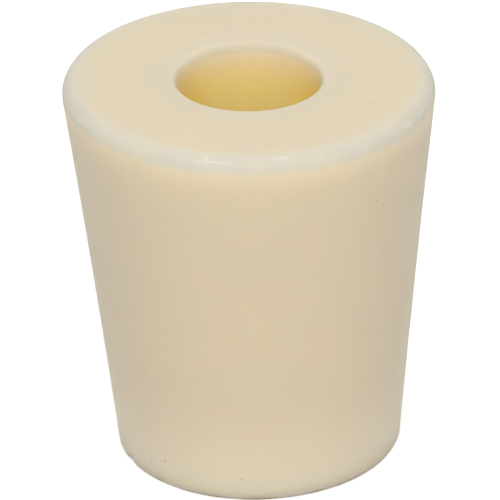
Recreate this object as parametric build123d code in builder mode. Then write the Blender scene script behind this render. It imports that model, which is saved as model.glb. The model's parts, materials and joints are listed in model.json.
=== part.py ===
"""A one-hole laboratory stopper, moulded in one piece from natural rubber.

Millimetres, +Z up, with the origin at the centre of the small end, which is the face it stands on.
The plug is a tapered round body, widest at the top, with one straight bore from end to end.
"""

import os
from math import radians, tan

from build123d import *

# The body. Both diameters are taken where the taper meets the end face, before its edge is rounded.
top_diameter = 26.0
bottom_diameter = 20.0
height = 28.0
side_hollow = 0.08  # how far moulding shrinkage draws the side in at half height
top_lean = 1.15  # degrees the top face is out of square, high at -X

# The edges.
top_rim_radius = 1.1
bottom_rim_radius = 0.3

# The bore, and the roundings where it opens through the end faces.
bore_diameter = 10.0
top_mouth_radius = 0.5
bottom_mouth_radius = 0.3

# The taper is carried on above the top face, so that the leaning cut meets it all the way round.
taper_per_side = (top_diameter - bottom_diameter) / 2 / height
overrun = top_diameter * tan(radians(top_lean)) + top_rim_radius
blank_height = height + overrun
blank_radius = top_diameter / 2 + overrun * taper_per_side


def side_point(share):
    """The point of the straight taper at this share of the blank's height."""
    bottom_radius = bottom_diameter / 2
    return (bottom_radius + share * (blank_radius - bottom_radius), share * blank_height)


waist_radius, waist_height = side_point(0.5)

with BuildPart() as stopper:
    # The tapered blank, with a side that is slightly hollow along its length.
    with BuildSketch(Plane.XZ):
        with BuildLine():
            Line((0, 0), side_point(0))
            ThreePointArc(side_point(0), (waist_radius - side_hollow, waist_height), side_point(1))
            Line(side_point(1), (0, blank_height))
            Line((0, blank_height), (0, 0))
        make_face()
    revolve(axis=Axis.Z)

    # The bore runs through both ends.
    Hole(radius=bore_diameter / 2)

    # The top face leans a little about Y, as a moulding trimmed slightly out of square.
    top_plane = Plane(origin=(0, 0, height)).rotated((0, top_lean, 0))
    split(bisect_by=top_plane, keep=Keep.BOTTOM)

    # Each end face has a rim outside and a mouth inside, which are its two round edges by length.
    top_mouth, top_rim = faces().sort_by(Axis.Z)[-1].edges().sort_by(SortBy.LENGTH)
    bottom_mouth, bottom_rim = faces().sort_by(Axis.Z)[0].edges().sort_by(SortBy.LENGTH)
    fillet(top_rim, radius=top_rim_radius)
    fillet(top_mouth, radius=top_mouth_radius)
    fillet(bottom_rim, radius=bottom_rim_radius)
    fillet(bottom_mouth, radius=bottom_mouth_radius)

stopper.part.label = "stopper"

os.makedirs("parts", exist_ok=True)
export_step(stopper.part, "parts/stopper.step")
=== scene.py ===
"""The looks of a one-hole rubber stopper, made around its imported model.

The stopper's body is swept by a geometry node tree from a rounded section, then gets the small dents
and the wear of a used one. Its rubber is one material. Lengths are in metres, except where a comment
says mm. +Z is up, and the stopper stands on the origin with its bore along Z.
"""

import json
from math import cos, pi, radians, sin, tan

import bpy
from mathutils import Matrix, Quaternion, Vector


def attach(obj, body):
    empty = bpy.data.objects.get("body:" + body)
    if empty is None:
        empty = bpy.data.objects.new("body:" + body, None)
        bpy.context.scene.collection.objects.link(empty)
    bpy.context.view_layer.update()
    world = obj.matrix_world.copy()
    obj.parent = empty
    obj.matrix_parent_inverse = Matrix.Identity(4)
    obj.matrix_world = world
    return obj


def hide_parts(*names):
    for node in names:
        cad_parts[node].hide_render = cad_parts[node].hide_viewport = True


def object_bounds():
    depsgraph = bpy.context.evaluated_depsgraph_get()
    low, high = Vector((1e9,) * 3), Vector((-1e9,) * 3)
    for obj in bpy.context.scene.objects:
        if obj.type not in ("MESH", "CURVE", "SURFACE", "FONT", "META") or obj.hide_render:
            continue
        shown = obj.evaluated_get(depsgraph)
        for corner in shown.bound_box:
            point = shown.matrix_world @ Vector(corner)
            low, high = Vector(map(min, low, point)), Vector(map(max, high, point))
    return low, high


bl_info = {
    "name": "One-hole rubber stopper",
    "version": (1, 0, 0),
    "blender": (4, 5, 0),
    "location": "View3D > Sidebar > Stopper",
    "description": "Makes a tapered rubber stopper with a bore, its rubber, and a pale stage",
    "category": "Add Mesh",
}

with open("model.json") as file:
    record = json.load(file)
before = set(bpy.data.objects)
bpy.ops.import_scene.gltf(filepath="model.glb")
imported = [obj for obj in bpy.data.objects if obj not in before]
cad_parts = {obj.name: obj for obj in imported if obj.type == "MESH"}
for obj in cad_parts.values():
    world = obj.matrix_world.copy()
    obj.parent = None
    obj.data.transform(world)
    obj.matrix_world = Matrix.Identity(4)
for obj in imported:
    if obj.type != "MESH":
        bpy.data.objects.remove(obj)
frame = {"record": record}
CAD_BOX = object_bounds()
BORE = next(mount for mount in frame["record"]["mounts"] if mount["kind"] == "bore")

MM = 0.001
MIDDLE = (CAD_BOX[0] + CAD_BOX[1]) / 2

# The finer surface.
SKIN = 0.005 * MM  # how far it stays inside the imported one
FILLET_POINTS = 12  # points along each rounding
LEAN_FROM, LEAN_TO = 0.5, 0.94  # shares of the height between which the lean sets in
WAVE = 7 * MM  # size of the long soft unevenness
RAGGED = 0.7 * MM  # size of the raggedness of a knock's outline, and how far it reaches
KNOCK_UNIT = 0.1 * MM  # the "knock" attribute is the depth in this unit

# The rubber's zones in mm: where a colour sets in, and where it is full. A radius is from the
# bore's axis, a depth is below the wide end's face, and a height is above the foot. The flanks are
# measured from the axis along X, and a round mark from the line of its ring.
# Painted light: in this zone the side grows paler towards the wide end, for the light from above.
TOP_LIGHT_DEPTH = (7.0, 2.0)
FACE_DEPTH = (0.6, 0.1)
# Painted reflection and shade: in these two zones the wide end's face is greyed, near its edge and
# round the bore.
OUTER_FACE_RADIUS = (9.0, 12.2)
INNER_FACE_RADIUS = (8.2, 6.2)
# Partly painted light: the rim's pale band in these zones is its whitish ageing together with a
# painted sheen.
RIM_RADIUS = (11.4, 12.5)
RIM_DEPTH = (1.4, 0.7)
# Painted light: in this zone the side just under the rim is made paler, for the light from above.
UNDER_RIM_RADIUS = (11.4, 12.2)
UNDER_RIM_DEPTH = (3.6, 1.0)
LINE_RADIUS = (11.9, 12.1)
# Painted light: the side grows paler towards the foot, and warmer at the foot's edge, to lift the
# shade near the floor.
FOOT_HEIGHT = (9.0, 0.0)
FOOT_EDGE_HEIGHT = (1.6, 0.2)
BROWN_HEIGHT = (0.35, 0.12)
WALL_DEPTH = (0.15, 0.9)
# Painted light: over this depth the bore's wall turns from honey to amber, for light passed on
# between its walls.
AMBER_DEPTH = (0.2, 3.4)
# Painted light: over this reach at the left and right, the bore's rounded edge is made paler and its
# wall a deeper amber.
FLANK_REACH = (2.0, 4.7)
MARK_WIDTH = (0.45, 0.0)

# The same for what is measured outwards from the bore's wall or inwards from the foot's edge.
# Painted shade: the bore's rounded edge is made darker over this gap.
MOUTH_GAP = (0.5, 0.2)
WALL_GAP = (0.3, 0.1)
BROWN_GAP = (0.7, 0.3)

# The sizes of the rubber's blotches in mm, from the widest to the finest.
BLOTCHES = 6.0
BROWN_PATCHES = 3.0
GLOSS_PATCHES = 2.5
WORN_PATCHES = 1.6
GRIT = 0.35

# The most that each colour covers what lies under it.
COVER = {
    "blotch": 0.10,
    "foot": 0.8,
    "foot edge": 0.8,
    "under rim": 0.30,
    "outer face": 0.25,
    "inner face": 0.18,
    "knock": 0.5,
    "mouth flank": 0.55,
    "wall flank": 0.75,
    "round mark": 0.22,
    "glint_and_scuff": 0.32,
    "crease": 0.4,
    "grain": 0.7,
    "brown": 0.9,
}

# The lamps' places and sizes, and the floor's white card.
OVERHEAD_PLACE, OVERHEAD_SIZE = Vector((0, -0.34, 0.50)), 0.30
FRONT_PLACE, FRONT_SIZE = Vector((0, -0.6, 0.3)), 0.35
CARD_WHITE = 0.80  # the floor's own colour
CARD_LIFT = 0.45  # what is added to it for the eye, so that it looks as white as the backdrop
SENSOR_WIDTH = 36  # mm

# Knocks in the rubber: angle round the bore from +X in degrees, height, radius and depth in mm.
KNOCKS = (
    (-19, 27.2, 0.85, 0.16),
    (-27, 27.7, 0.65, 0.10),
    (15, 27.9, 0.45, 0.16),
    (-153, 27.2, 0.80, 0.12),
    (-162, 26.6, 0.55, 0.08),
    (58, 27.3, 0.70, 0.12),
    (121, 27.6, 0.50, 0.12),
    (-156, 0.5, 0.90, 0.14),
    (40, 0.4, 0.60, 0.10),
    (-14, 7.4, 2.60, 0.07),
    (96, 14.0, 2.20, 0.05),
)

# Dark grains caught in the rubber: angle from +X in degrees, height and radius in mm.
GRAINS = (
    (-47.5, 22.8, 0.13),
    (-85.1, 15.6, 0.12),
    (-116.4, 7.8, 0.11),
    (-130.8, 2.1, 0.12),
    (-139.1, 1.5, 0.10),
    (-97.6, 1.8, 0.09),
    (-77.4, 20.5, 0.09),
    (24.0, 11.3, 0.12),
    (83.0, 19.2, 0.12),
    (140.0, 5.6, 0.13),
    (171.0, 23.4, 0.10),
)

# Fine lines along the rim: first and last angle in degrees, how far below the wide end's face the
# line lies and its half width in mm, and whether it is a bright line, a scratch with a painted glint
# of light on the crest, or else a dull crease.
RIM_LINES = (
    (-111, -94, 0.34, 0.10, True),
    (-105.2, -103.4, 0.16, 0.20, True),
    (-84.5, -77, 0.16, 0.10, True),
    (-27, -15, 0.55, 0.12, True),
    (-34, -30, 0.50, 0.10, True),
    (-158, -149, 0.60, 0.14, True),
    (-38, -20, 0.12, 0.20, False),
    (-163, -148, 0.16, 0.20, False),
    (62, 84, 0.20, 0.07, True),
    (128, 150, 0.25, 0.08, False),
)

# Faint round marks on the wide end's face: the centre's X and Y and the ring's radius in mm.
FACE_MARKS = (
    (1.4, -8.8, 1.55),
    (-9.2, -4.9, 1.00),
    (8.4, -3.4, 0.90),
    (-2.6, 8.3, 1.30),
)


class StopperSizes(bpy.types.PropertyGroup):
    """The stopper's own sizes."""

    wide_radius: bpy.props.FloatProperty(
        name="Wide Radius", description="Radius at the wide end, before its rim is rounded",
        default=13.0 * MM, unit="LENGTH", precision=5)
    small_radius: bpy.props.FloatProperty(
        name="Small Radius", description="Radius at the small end, before its edge is rounded",
        default=10.0 * MM, unit="LENGTH", precision=5)
    height: bpy.props.FloatProperty(
        name="Height", description="Height at the axis",
        default=28.0 * MM, unit="LENGTH", precision=5)
    bore_radius: bpy.props.FloatProperty(
        name="Bore Radius", description="Radius of the bore, which the packed model states",
        default=BORE["dims"]["r_mm"] * MM, unit="LENGTH", precision=5)
    rim_rounding: bpy.props.FloatProperty(
        name="Rim Rounding", description="Radius of the wide end's outer edge",
        default=1.1 * MM, unit="LENGTH", precision=5)
    foot_rounding: bpy.props.FloatProperty(
        name="Foot Rounding", description="Radius of the small end's outer edge",
        default=0.3 * MM, unit="LENGTH", precision=5)
    wide_mouth_rounding: bpy.props.FloatProperty(
        name="Wide Mouth Rounding", description="Radius of the bore's edge at the wide end",
        default=0.5 * MM, unit="LENGTH", precision=5)
    small_mouth_rounding: bpy.props.FloatProperty(
        name="Small Mouth Rounding", description="Radius of the bore's edge at the small end",
        default=0.3 * MM, unit="LENGTH", precision=5)
    side_hollow: bpy.props.FloatProperty(
        name="Side Hollow", description="How far the side is drawn in at half height",
        default=0.08 * MM, unit="LENGTH", precision=6)
    face_lean: bpy.props.FloatProperty(
        name="Face Lean", description="How far the wide end is out of square, high at -X",
        default=radians(1.15), subtype="ANGLE")
    waviness: bpy.props.FloatProperty(
        name="Waviness", description="Depth of the long soft unevenness of the moulded surface",
        default=0.03 * MM, unit="LENGTH", precision=6)
    row_spacing: bpy.props.FloatProperty(
        name="Row Spacing", description="Length of a face along the section",
        default=0.5 * MM, unit="LENGTH", precision=5)
    columns: bpy.props.IntProperty(
        name="Columns", description="Faces round the stopper", default=384, min=24)


class StopperRubber(bpy.types.PropertyGroup):
    """The rubber's colours and finish."""

    cream: bpy.props.FloatVectorProperty(
        name="Cream", description="Colour of the side", subtype="COLOR", size=3,
        default=(0.740, 0.630, 0.455))
    # Painted light: this paler cream on the wide end's face and the top of the side stands for the
    # light from above.
    lit_top_cream: bpy.props.FloatVectorProperty(
        name="Pale Cream", description="Colour of the wide end's face", subtype="COLOR", size=3,
        default=(0.748, 0.648, 0.460))
    # Partly painted light: this greyish white stands for the rim's whitish ageing and for a painted
    # sheen on its rounding. It also tints the blotches, the knocks and the face's rings.
    bloom_and_sheen: bpy.props.FloatVectorProperty(
        name="Bloom", description="Colour of the dry, worn rim", subtype="COLOR", size=3,
        default=(0.605, 0.582, 0.505))
    # Painted light: this amber, and the deep amber below, stand for light passed on between the
    # bore's walls, which deepens its colour further in and at the left and right.
    amber: bpy.props.FloatVectorProperty(
        name="Amber", description="Colour deep in the bore", subtype="COLOR", size=3,
        default=(1.0, 0.81, 0.365))
    deep_amber: bpy.props.FloatVectorProperty(
        name="Deep Amber", description="Colour of the bore's left and right walls",
        subtype="COLOR", size=3, default=(1.0, 0.76, 0.20))
    # Painted shade: this darker colour on the bore's rounded edge stands for the shade where the edge
    # turns down into the bore.
    mouth: bpy.props.FloatVectorProperty(
        name="Mouth", description="Colour of the bore's rounded edge", subtype="COLOR", size=3,
        default=(0.65, 0.575, 0.44))
    # Painted light: this paler honey on the wall near the wide mouth stands for the light that falls
    # in there.
    honey: bpy.props.FloatVectorProperty(
        name="Honey", description="Colour of the bore's wall near its wide mouth",
        subtype="COLOR", size=3, default=(0.83, 0.745, 0.58))
    # Painted light: this paler cream lightens the side near the foot and just under the rim, and the
    # bore's rounded edge at the left and right.
    lit_cream: bpy.props.FloatVectorProperty(
        name="Lit", description="Colour of the dry skin near the small end",
        subtype="COLOR", size=3, default=(0.830, 0.730, 0.560))
    # Partly painted light: this pale colour goes on the rim's bright lines, which are scratches with
    # painted glints of light on the crest.
    glint_and_scuff: bpy.props.FloatVectorProperty(
        name="Scuff", description="Colour of the bright lines along the rim",
        subtype="COLOR", size=3, default=(0.82, 0.79, 0.70))
    crease: bpy.props.FloatVectorProperty(
        name="Crease", description="Colour of the dull lines along the rim",
        subtype="COLOR", size=3, default=(0.58, 0.54, 0.44))
    umber: bpy.props.FloatVectorProperty(
        name="Umber", description="Colour of grains caught in the rubber",
        subtype="COLOR", size=3, default=(0.16, 0.11, 0.07))
    # Painted light: this warm tan on the foot's edge lifts the grey-blue shade there next to the
    # floor.
    tan: bpy.props.FloatVectorProperty(
        name="Tan", description="Colour of the skin at the small end's edge",
        subtype="COLOR", size=3, default=(0.93, 0.72, 0.48))
    edge_brown: bpy.props.FloatVectorProperty(
        name="Brown", description="Colour of dirt on the foot's edge",
        subtype="COLOR", size=3, default=(0.50, 0.31, 0.13))
    roughness: bpy.props.FloatProperty(
        name="Roughness", description="Roughness of the moulded surface", default=0.50,
        subtype="FACTOR", min=0, max=1)
    glow_depth: bpy.props.FloatProperty(
        name="Glow Depth", description="How far light travels inside the rubber",
        default=4.0 * MM, unit="LENGTH", precision=5)


class StopperStage(bpy.types.PropertyGroup):
    """The camera, the lamps and the floor."""

    elevation: bpy.props.FloatProperty(
        name="Elevation", description="The camera's angle above the floor",
        default=radians(28.04), subtype="ANGLE")
    roll: bpy.props.FloatProperty(
        name="Roll", description="How far the camera is turned about its line of sight",
        default=radians(-1.81), subtype="ANGLE")
    distance: bpy.props.FloatProperty(
        name="Distance", description="From the camera to the middle of the stopper",
        default=0.367, unit="LENGTH")
    lens: bpy.props.FloatProperty(
        name="Lens", description="Focal length for a sensor 36 mm wide",
        default=377.6, subtype="DISTANCE_CAMERA")
    aim: bpy.props.FloatVectorProperty(
        name="Aim", description="How far the camera is moved to its right and up", size=2,
        default=(-0.29 * MM, 0.41 * MM), unit="LENGTH", precision=6)
    floor_size: bpy.props.FloatProperty(
        name="Floor Size", description="Side of the square floor", default=3.0, unit="LENGTH")
    sky: bpy.props.FloatProperty(
        name="Sky", description="Strength of the light from all round", default=0.93, min=0)
    flags: bpy.props.FloatProperty(
        name="Flags", description="How much the light from the left and right is held back",
        default=1.1, min=0)
    overhead: bpy.props.FloatProperty(
        name="Overhead", description="Power of the lamp above and in front", default=1.40, min=0,
        subtype="POWER")
    front: bpy.props.FloatProperty(
        name="Front", description="Power of the low lamp in front", default=0.1, min=0,
        subtype="POWER")


class Maker:
    """Adds nodes to one tree. A value that is a socket is linked, and any other is set."""

    def __init__(self, tree):
        self.tree = tree

    def node(self, kind, inputs=None, **settings):
        made = self.tree.nodes.new(kind)
        made.location = (190 * len(self.tree.nodes), 0)
        for name, value in settings.items():
            setattr(made, name, value)
        for key, value in (inputs or {}).items():
            if isinstance(value, bpy.types.NodeSocket):
                self.tree.links.new(value, made.inputs[key])
            else:
                made.inputs[key].default_value = value
        return made

    def math(self, operation, *values):
        return self.node("ShaderNodeMath", dict(enumerate(values)), operation=operation).outputs[0]

    def vector(self, operation, *values):
        made = self.node("ShaderNodeVectorMath", operation=operation)
        for socket, value in zip(made.inputs, values):
            if isinstance(value, bpy.types.NodeSocket):
                self.tree.links.new(value, socket)
            else:
                socket.default_value = value
        return made.outputs["Value" if operation in {"LENGTH", "DISTANCE"} else "Vector"]

    def scaled(self, vector, by):
        return self.node("ShaderNodeVectorMath", {"Vector": vector, "Scale": by},
                         operation="SCALE").outputs["Vector"]

    def fade(self, value, start, end, low=0.0, high=1.0):
        """Goes smoothly from low to high while value goes from start to end."""
        spans = {"From Min": start, "From Max": end, "To Min": low, "To Max": high}
        return self.node("ShaderNodeMapRange", {"Value": value, **spans},
                         interpolation_type="SMOOTHSTEP").outputs["Result"]

    def zone(self, value, span, low=0.0, high=1.0):
        """A fade whose start and end are given in mm."""
        start, end = span
        return self.fade(value, start * MM, end * MM, low, high)

    def product(self, *values):
        made = values[0]
        for value in values[1:]:
            made = self.math("MULTIPLY", made, value)
        return made

    def noise(self, where, size, detail=2.0):
        """Soft noise from 0 to 1 whose blotches are about this size."""
        wanted = {"Vector": where, "Scale": 1 / size, "Detail": detail}
        return self.node("ShaderNodeTexNoise", wanted, noise_dimensions="3D").outputs[0]

    def parts(self, vector):
        return self.node("ShaderNodeSeparateXYZ", {"Vector": vector}).outputs

    def joined(self, x, y, z):
        return self.node("ShaderNodeCombineXYZ", {"X": x, "Y": y, "Z": z}).outputs[0]

    def blended(self, share, first, second):
        """The colour that is first at a share of 0 and second at a share of 1."""
        colours = {6: first, 7: second}
        for key, value in colours.items():
            if not isinstance(value, bpy.types.NodeSocket):
                colours[key] = (*value, 1.0)
        return self.node("ShaderNodeMix", {0: share, **colours}, data_type="RGBA").outputs[2]


def round_place(angle, height, sizes):
    """The point of the side at this angle in degrees and this height in mm."""
    z = height * MM
    radius = sizes.small_radius + (sizes.wide_radius - sizes.small_radius) * z / sizes.height
    return Vector((radius * cos(radians(angle)), radius * sin(radians(angle)), z))


def section(make, size):
    """The closed section of the wall as a curve: X is the distance from the axis, Y the height."""
    def corner(radius, height):
        return make.joined(radius, height, 0.0)

    corners = make.node("GeometryNodeCurvePrimitiveQuadrilateral", {
        "Point 1": corner(size["Bore Radius"], 0.0),
        "Point 2": corner(size["Small Radius"], 0.0),
        "Point 3": corner(size["Wide Radius"], size["Height"]),
        "Point 4": corner(size["Bore Radius"], size["Height"]),
    }, mode="POINTS").outputs["Curve"]

    # Each corner has its own rounding.
    index = make.node("GeometryNodeInputIndex").outputs[0]
    rounding = size["Small Mouth Rounding"]
    for number, name in ((1, "Foot Rounding"), (2, "Rim Rounding"), (3, "Wide Mouth Rounding")):
        here = make.node("FunctionNodeCompare", {2: index, 3: number}, data_type="INT",
                         operation="EQUAL").outputs[0]
        rounding = make.node("GeometryNodeSwitch", {0: here, 1: rounding, 2: size[name]},
                             input_type="FLOAT").outputs[0]
    rounded = make.node("GeometryNodeFilletCurve", {
        "Curve": corners, "Count": FILLET_POINTS, "Radius": rounding}, mode="POLY").outputs["Curve"]

    # The long straight runs are cut into rows.
    place = make.node("GeometryNodeInputPosition").outputs[0]
    following = make.node("GeometryNodeOffsetPointInCurve", {"Offset": 1}).outputs["Point Index"]
    beyond = make.node("GeometryNodeFieldAtIndex", {"Index": following, "Value": place},
                       data_type="FLOAT_VECTOR", domain="POINT").outputs[0]
    rows = make.math("DIVIDE", make.vector("DISTANCE", place, beyond), size["Row Spacing"])
    cut = make.node("GeometryNodeSubdivideCurve", {"Curve": rounded, "Cuts": rows}).outputs["Curve"]

    # The side is drawn in by a parabola along its height.
    radius, height, _ = make.parts(make.node("GeometryNodeInputPosition").outputs[0])
    both_radii = make.math("ADD", size["Bore Radius"], size["Small Radius"])
    outer = make.math("GREATER_THAN", radius, make.product(both_radii, 0.5))
    share = make.math("DIVIDE", height, size["Height"])
    bow = make.product(share, make.math("SUBTRACT", 1.0, share), 4.0)
    offset = make.joined(make.product(bow, outer, size["Side Hollow"], -1.0), 0.0, 0.0)
    return make.node("GeometryNodeSetPosition", {"Geometry": cut, "Offset": offset}).outputs[0]


def swept(make, wall, size):
    """The section carried round the axis, with the wide end leaning."""
    guide_radius = size["Bore Radius"]
    guide = make.node("GeometryNodeCurvePrimitiveCircle", {
        "Resolution": size["Columns"], "Radius": guide_radius}, mode="RADIUS").outputs["Curve"]
    x, y, _ = make.parts(make.node("GeometryNodeInputPosition").outputs[0])
    hung = make.joined(make.math("SUBTRACT", x, guide_radius), make.math("MULTIPLY", y, -1.0), 0.0)
    profile = make.node("GeometryNodeSetPosition", {"Geometry": wall, "Position": hung}).outputs[0]
    inside_out = make.node("GeometryNodeCurveToMesh", {
        "Curve": guide, "Profile Curve": profile}).outputs["Mesh"]
    body = make.node("GeometryNodeFlipFaces", {"Mesh": inside_out}).outputs[0]

    # The wide end leans about Y, and what rises or sinks there stays on the side's taper.
    x, y, z = make.parts(make.node("GeometryNodeInputPosition").outputs[0])
    near_top = make.fade(make.math("DIVIDE", z, size["Height"]), LEAN_FROM, LEAN_TO)
    rise = make.product(x, near_top, make.math("TANGENT", size["Face Lean"]), -1.0)
    taper = make.math("DIVIDE", make.math("SUBTRACT", size["Wide Radius"], size["Small Radius"]),
                      make.product(size["Height"], size["Wide Radius"]))
    outward = make.scaled(make.joined(x, y, 0.0), make.product(rise, taper))
    offset = make.vector("ADD", outward, make.joined(0.0, 0.0, rise))
    return make.node("GeometryNodeSetPosition", {"Geometry": body, "Offset": offset}).outputs[0]


def weathered(make, body, size, sizes):
    """The body with its long unevenness and its knocks, whose depth is kept as an attribute."""
    place = make.node("GeometryNodeInputPosition").outputs[0]
    normal = make.node("GeometryNodeInputNormal").outputs[0]
    uneven = make.product(make.noise(place, WAVE, 1.0), size["Waviness"])
    jitter = make.node("ShaderNodeTexNoise", {"Vector": place, "Scale": 1 / RAGGED},
                       noise_dimensions="3D").outputs["Color"]
    jitter = make.scaled(make.vector("SUBTRACT", jitter, (0.5, 0.5, 0.5)), RAGGED)
    ragged_place = make.vector("ADD", place, jitter)
    depth = 0.0
    for angle, height, radius, deep in KNOCKS:
        away = make.vector("DISTANCE", ragged_place, round_place(angle, height, sizes))
        depth = make.math("ADD", depth, make.fade(away, 0.0, radius * MM, deep * MM, 0.0))
    inward = make.math("SUBTRACT", -SKIN, make.math("ADD", uneven, depth))
    moved = make.node("GeometryNodeSetPosition", {
        "Geometry": body, "Offset": make.scaled(normal, inward)}).outputs[0]
    return make.node("GeometryNodeStoreNamedAttribute", {
        "Geometry": moved, "Name": "knock", "Value": make.math("DIVIDE", depth, KNOCK_UNIT),
    }, data_type="FLOAT", domain="POINT").outputs[0]


def body_tree(sizes, rubber):
    """The geometry node tree that makes the whole stopper from its sizes."""
    tree = bpy.data.node_groups.new("stopper_body", "GeometryNodeTree")
    tree.interface.new_socket("Geometry", in_out="OUTPUT", socket_type="NodeSocketGeometry")
    wanted = {
        "Wide Radius": sizes.wide_radius,
        "Small Radius": sizes.small_radius,
        "Height": sizes.height,
        "Bore Radius": sizes.bore_radius,
        "Rim Rounding": sizes.rim_rounding,
        "Foot Rounding": sizes.foot_rounding,
        "Wide Mouth Rounding": sizes.wide_mouth_rounding,
        "Small Mouth Rounding": sizes.small_mouth_rounding,
        "Side Hollow": sizes.side_hollow,
        "Face Lean": sizes.face_lean,
        "Waviness": sizes.waviness,
        "Row Spacing": sizes.row_spacing,
    }
    for name in wanted:
        tree.interface.new_socket(name, in_out="INPUT", socket_type="NodeSocketFloat")
    tree.interface.new_socket("Columns", in_out="INPUT", socket_type="NodeSocketInt")
    tree.interface.new_socket("Rubber", in_out="INPUT", socket_type="NodeSocketMaterial")
    wanted.update({"Columns": sizes.columns, "Rubber": rubber})
    make = Maker(tree)
    size = make.node("NodeGroupInput").outputs
    body = weathered(make, swept(make, section(make, size), size), size, sizes)
    smooth = make.node("GeometryNodeSetShadeSmooth", {"Geometry": body}).outputs[0]
    real = make.node("GeometryNodeRealizeInstances", {"Geometry": smooth}).outputs[0]
    coated = make.node("GeometryNodeSetMaterial", {"Geometry": real, "Material": size["Rubber"]})
    make.node("NodeGroupOutput", {"Geometry": coated.outputs[0]})
    return tree, wanted


class Places:
    """Where a point of the rubber lies, as sockets that the colours share."""

    def __init__(self, make, sizes):
        self.point = make.node("ShaderNodeTexCoord").outputs["Object"]
        self.x, self.y, self.z = make.parts(self.point)
        self.flat = make.joined(self.x, self.y, 0.0)
        self.radius = make.vector("LENGTH", self.flat)
        leant = make.math("ADD", self.z, make.product(self.x, tan(sizes.face_lean)))
        self.below_face = make.math("SUBTRACT", sizes.height, leant)
        self.on_face = make.zone(self.below_face, FACE_DEPTH)
        self.from_bore = make.math("SUBTRACT", self.radius, sizes.bore_radius)
        self.from_foot_edge = make.math("SUBTRACT", sizes.small_radius, self.radius)
        self.worn = make.noise(self.point, WORN_PATCHES * MM, 4.0)


def ground_colour(make, at, look):
    """Cream in soft blotches, with painted light: paler towards the wide end for the light from
    above, paler towards the foot and warmer at its edge to lift the shade near the floor.
    """
    # Painted light: paler towards the wide end, for the light from above.
    colour = make.blended(make.zone(at.below_face, TOP_LIGHT_DEPTH), look.cream, look.lit_top_cream)
    blotch = make.fade(make.noise(at.point, BLOTCHES * MM, 3.0), 0.35, 0.65)
    colour = make.blended(make.product(blotch, COVER["blotch"]), colour, look.bloom_and_sheen)
    # Painted light: paler towards the foot, lifting the shade near the floor.
    foot = make.zone(at.z, FOOT_HEIGHT, high=COVER["foot"])
    colour = make.blended(foot, colour, look.lit_cream)
    # Painted light: warmer at the foot's edge, lifting the grey-blue shade next to the floor.
    foot_edge = make.zone(at.z, FOOT_EDGE_HEIGHT, high=COVER["foot edge"])
    return make.blended(foot_edge, colour, look.tan)


def rim_share(make, at):
    """How much of the rim's pale colour shows, which is its whitish ageing together with a painted
    sheen: uneven, and none off the rim.
    """
    patchy = make.fade(at.worn, 0.25, 0.65, 0.6, 0.9)
    return make.product(make.zone(at.radius, RIM_RADIUS), make.zone(at.below_face, RIM_DEPTH), patchy)


def painted_rim_and_face(make, at, look, colour, rim):
    """Over the colour: painted light just under the rim, the pale rim with its whitish ageing and a
    painted sheen, painted reflection and shade on the wide end's outer and inner parts, and the
    knocks.
    """
    # Painted light: the side just under the rim is made paler, for the light from above.
    under_rim_light = make.product(make.zone(at.radius, UNDER_RIM_RADIUS),
                           make.zone(at.below_face, UNDER_RIM_DEPTH, high=COVER["under rim"]))
    colour = make.blended(under_rim_light, colour, look.lit_cream)
    # Partly painted light: the pale rim is its whitish ageing together with a painted sheen on the
    # rounding.
    colour = make.blended(rim, colour, look.bloom_and_sheen)
    # Painted reflection and shade: the face is greyed near its outer edge, for the reflection seen
    # there at a grazing angle, and round the bore, where light is lost into it.
    outer = make.zone(at.radius, OUTER_FACE_RADIUS, high=COVER["outer face"])
    inner = make.zone(at.radius, INNER_FACE_RADIUS, high=COVER["inner face"])
    painted = make.product(make.math("ADD", outer, inner), at.on_face)
    colour = make.blended(painted, colour, look.bloom_and_sheen)
    knock = make.node("ShaderNodeAttribute", attribute_name="knock").outputs["Fac"]
    return make.blended(make.fade(knock, 0.75, 1.5, 0.0, COVER["knock"]), colour, look.bloom_and_sheen)


def bore_share(make, at):
    """1 on the bore's wall, and 0 from its rounded wide mouth outwards."""
    return make.product(make.zone(at.below_face, WALL_DEPTH), make.zone(at.from_bore, WALL_GAP))


def bore_wall(make, at, look, colour, inside):
    """Over the colour: the bore's wall, honey at its wide mouth and amber further in, with painted
    light and shade: light that falls in at the mouth, light passed on between the walls further in
    and at the left and right, and shade on the rounded edge.
    """
    flank = make.zone(make.math("ABSOLUTE", at.x), FLANK_REACH)
    # Painted shade and light: the bore's rounded edge is darker, and paler at the left and right,
    # where the shading is lifted.
    edge = make.blended(make.product(flank, COVER["mouth flank"]), look.mouth, look.lit_cream)
    colour = make.blended(make.zone(at.from_bore, MOUTH_GAP), colour, edge)
    # Painted light: honey near the mouth and amber further in, for light falling in and passed on
    # between the walls.
    deep = make.zone(at.below_face, AMBER_DEPTH)
    wall = make.blended(deep, look.honey, look.amber)
    wall = make.blended(make.product(flank, deep, COVER["wall flank"]), wall, look.deep_amber)
    return make.blended(inside, colour, wall)


def face_marks(make, at, look, colour):
    """Over the colour: faint broken rings on the wide end."""
    for centre_x, centre_y, ring in FACE_MARKS:
        centre = (centre_x * MM, centre_y * MM, 0.0)
        across = make.vector("LENGTH", make.vector("SUBTRACT", at.flat, centre))
        off_ring = make.math("ABSOLUTE", make.math("SUBTRACT", across, ring * MM))
        mark = make.product(make.zone(off_ring, MARK_WIDTH, high=COVER["round mark"]), at.on_face,
                            make.fade(at.worn, 0.35, 0.65))
        colour = make.blended(mark, colour, look.crease)
    return colour


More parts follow.
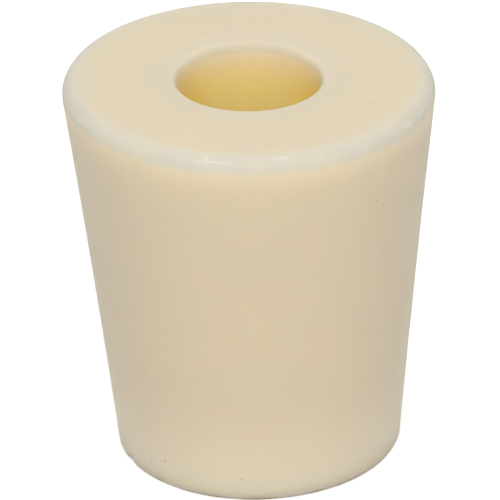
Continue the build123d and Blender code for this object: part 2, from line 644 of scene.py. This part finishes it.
def rim_lines(make, at, look, colour):
    """Over the colour: bright scratches with painted glints of light, and dull creases, that run
    along the rim.
    """
    turn = make.product(make.math("ARCTAN2", at.y, at.x), 180 / pi)
    for first, last, below, half_width, bright in RIM_LINES:
        middle, reach = (first + last) / 2, (last - first) / 2
        along = make.math("ABSOLUTE", make.math("SUBTRACT", turn, middle))
        over = make.math("ABSOLUTE", make.math("SUBTRACT", at.below_face, below * MM))
        line = make.product(make.fade(along, reach, reach * 0.4), make.zone(over, (half_width, 0.0)),
                            make.zone(at.radius, LINE_RADIUS))
        # Partly painted light: a bright line is a scratch with a painted glint of light.
        shade, cover = (look.glint_and_scuff, COVER["glint_and_scuff"]) if bright else (look.crease, COVER["crease"])
        colour = make.blended(make.product(line, cover), colour, shade)
    return colour


def grains_and_brown(make, at, look, sizes, colour):
    """Over the colour: dark grains in the side, and brown patches along the foot's edge."""
    nearest = 1.0
    for angle, height, radius in GRAINS:
        away = make.vector("DISTANCE", at.point, round_place(angle, height, sizes))
        nearest = make.math("MINIMUM", nearest, make.math("DIVIDE", away, radius * MM))
    colour = make.blended(make.fade(nearest, 1.0, 0.3, 0.0, COVER["grain"]), colour, look.umber)
    edge = make.product(make.zone(at.z, BROWN_HEIGHT), make.zone(at.from_foot_edge, BROWN_GAP))
    patches = make.noise(at.point, BROWN_PATCHES * MM, 5.0)
    brown = make.product(edge, make.fade(patches, 0.45, 0.60, 0.0, COVER["brown"]))
    return make.blended(brown, colour, look.edge_brown)


def rubber_material(look, sizes):
    """Natural rubber: cream and faintly clear, pale at the rim with whitish ageing and a painted
    sheen, with painted light near the wide end and the foot, and amber inside the bore, which paints
    the light passed on between its walls.
    """
    material = bpy.data.materials.new("natural_rubber")
    material.use_nodes = True
    material.node_tree.nodes.clear()
    make = Maker(material.node_tree)
    at = Places(make, sizes)
    rim = rim_share(make, at)
    inside = bore_share(make, at)

    colour = ground_colour(make, at, look)
    colour = painted_rim_and_face(make, at, look, colour, rim)
    colour = bore_wall(make, at, look, colour, inside)
    colour = face_marks(make, at, look, colour)
    colour = rim_lines(make, at, look, colour)
    colour = grains_and_brown(make, at, look, sizes, colour)

    grit = make.noise(at.point, GRIT * MM, 3.0)
    bump = make.node("ShaderNodeBump", {"Strength": 0.25, "Distance": 0.02 * MM, "Height": grit})
    patches = make.noise(at.point, GLOSS_PATCHES * MM, 4.0)
    rough = make.fade(patches, 0.3, 0.7, look.roughness - 0.05, look.roughness + 0.06)
    shader = make.node("ShaderNodeBsdfPrincipled", {
        "Base Color": colour,
        "Roughness": make.math("ADD", rough, make.product(rim, 0.15)),
        "IOR": 1.4,
        "Specular IOR Level": make.fade(inside, 0.0, 1.0, 0.30, 0.05),
        "Subsurface Weight": 1.0,
        "Subsurface Radius": (1.0, 0.86, 0.68),
        "Subsurface Scale": look.glow_depth,
        "Normal": bump.outputs[0],
    }, subsurface_method="RANDOM_WALK")
    make.node("ShaderNodeOutputMaterial", {"Surface": shader.outputs[0]})
    return material


class STOPPER_OT_body(bpy.types.Operator):
    """Makes the stopper's body and its rubber"""

    bl_idname = "stopper.body"
    bl_label = "Stopper Body"

    def execute(self, context):
        scene = context.scene
        sizes = scene.stopper_sizes
        rubber = rubber_material(scene.stopper_rubber, sizes)
        tree, wanted = body_tree(sizes, rubber)

        maker = bpy.data.objects.new("stopper_maker", bpy.data.meshes.new("stopper_maker"))
        scene.collection.objects.link(maker)
        modifier = maker.modifiers.new("body", "NODES")
        modifier.node_group = tree
        for socket in tree.interface.items_tree:
            if socket.in_out == "INPUT":
                modifier[socket.identifier] = wanted[socket.name]
        made = maker.evaluated_get(context.evaluated_depsgraph_get())
        mesh = bpy.data.meshes.new_from_object(made)
        bpy.data.objects.remove(maker)
        if not mesh.polygons:
            raise RuntimeError("the node tree made no faces")

        body = bpy.data.objects.new("stopper_body", mesh)
        scene.collection.objects.link(body)
        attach(body, "root")
        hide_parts("stopper")
        return {"FINISHED"}


def white_for_the_eye(make):
    """1 for rays from the camera and for those that show in gloss or through glass, or else 0."""
    path = make.node("ShaderNodeLightPath").outputs
    seen = make.math("MAXIMUM", path["Is Camera Ray"], path["Is Glossy Ray"])
    return make.math("MAXIMUM", seen, path["Is Transmission Ray"])


def lit_world(sky, flags):
    """A white backdrop that lights the stopper softly, less from the left and right."""
    world = bpy.data.worlds.new("white_surroundings")
    world.use_nodes = True
    world.node_tree.nodes.clear()
    make = Maker(world.node_tree)
    x, _, _ = make.parts(make.node("ShaderNodeTexCoord").outputs["Generated"])
    open_share = make.math("SUBTRACT", 1.0, make.product(x, x, flags))
    lighting = make.product(make.math("MAXIMUM", open_share, 0.0), sky)
    strength = make.fade(white_for_the_eye(make), 0.0, 1.0, lighting, 1.0)
    light = make.node("ShaderNodeBackground", {"Color": (1, 1, 1, 1), "Strength": strength})
    make.node("ShaderNodeOutputWorld", {"Surface": light.outputs[0]})
    return world


def floor_material():
    """White card that keeps a soft shadow and looks as white as the backdrop."""
    material = bpy.data.materials.new("white_card")
    material.use_nodes = True
    material.node_tree.nodes.clear()
    make = Maker(material.node_tree)
    white = (CARD_WHITE, CARD_WHITE, CARD_WHITE, 1)
    card = make.node("ShaderNodeBsdfDiffuse", {"Color": white}).outputs[0]
    lift = make.node("ShaderNodeEmission", {
        "Color": (1, 1, 1, 1), "Strength": make.product(white_for_the_eye(make), CARD_LIFT)})
    both = make.node("ShaderNodeAddShader", {0: card, 1: lift.outputs[0]}).outputs[0]
    make.node("ShaderNodeOutputMaterial", {"Surface": both})
    return material


def lamp(scene, name, power, size, place, target):
    """A square white lamp at place, turned towards target."""
    data = bpy.data.lights.new(name, "AREA")
    data.energy = power
    data.size = size
    made = bpy.data.objects.new(name, data)
    scene.collection.objects.link(made)
    made.location = place
    made.rotation_mode = "QUATERNION"
    made.rotation_quaternion = (place - target).to_track_quat("Z", "Y")


class STOPPER_OT_stage(bpy.types.Operator):
    """Makes the floor, the surroundings, the lamps and the camera"""

    bl_idname = "stopper.stage"
    bl_label = "Stage"

    def execute(self, context):
        scene = context.scene
        stage = scene.stopper_stage

        half = stage.floor_size / 2
        card = bpy.data.meshes.new("floor")
        corners = [(-half, -half, 0), (half, -half, 0), (half, half, 0), (-half, half, 0)]
        card.from_pydata(corners, [], [(0, 1, 2, 3)])
        card.materials.append(floor_material())
        floor = bpy.data.objects.new("floor", card)
        scene.collection.objects.link(floor)

        scene.world = lit_world(stage.sky, stage.flags)
        lamp(scene, "overhead_lamp", stage.overhead, OVERHEAD_SIZE, OVERHEAD_PLACE, MIDDLE)
        lamp(scene, "front_lamp", stage.front, FRONT_SIZE, FRONT_PLACE, MIDDLE)

        towards = Vector((0, -cos(stage.elevation), sin(stage.elevation)))
        level = towards.to_track_quat("Z", "Y")
        aim_right, aim_up = stage.aim
        middle = Vector((0, 0, scene.stopper_sizes.height / 2))
        data = bpy.data.cameras.new("camera")
        data.sensor_width = SENSOR_WIDTH
        data.lens = stage.lens
        data.clip_start = 0.01
        camera = bpy.data.objects.new("camera", data)
        scene.collection.objects.link(camera)
        camera.location = middle + towards * stage.distance + level @ Vector((aim_right, aim_up, 0))
        camera.rotation_mode = "QUATERNION"
        camera.rotation_quaternion = Quaternion(towards, stage.roll) @ level
        scene.camera = camera
        scene.view_settings.view_transform = "Standard"
        return {"FINISHED"}


class STOPPER_PT_panel(bpy.types.Panel):
    """Lists the stopper's operators and values."""

    bl_idname = "STOPPER_PT_panel"
    bl_label = "Stopper"
    bl_space_type = "VIEW_3D"
    bl_region_type = "UI"
    bl_category = "Stopper"

    def draw(self, context):
        for operator in OPERATORS:
            self.layout.operator(operator.bl_idname)
        for name in GROUPS:
            group = getattr(context.scene, name)
            for value in group.bl_rna.properties.keys():
                if value not in {"rna_type", "name"}:
                    self.layout.prop(group, value)


OPERATORS = (STOPPER_OT_body, STOPPER_OT_stage)
GROUPS = {
    "stopper_sizes": StopperSizes,
    "stopper_rubber": StopperRubber,
    "stopper_stage": StopperStage,
}


def register():
    for kind in (*GROUPS.values(), *OPERATORS, STOPPER_PT_panel):
        bpy.utils.register_class(kind)
    for name, group in GROUPS.items():
        setattr(bpy.types.Scene, name, bpy.props.PointerProperty(type=group))


def unregister():
    for name in GROUPS:
        delattr(bpy.types.Scene, name)
    for kind in (STOPPER_PT_panel, *OPERATORS, *GROUPS.values()):
        bpy.utils.unregister_class(kind)


def main():
    register()
    bpy.ops.stopper.body()
    bpy.ops.stopper.stage()


if __name__ == "__main__":
    main()
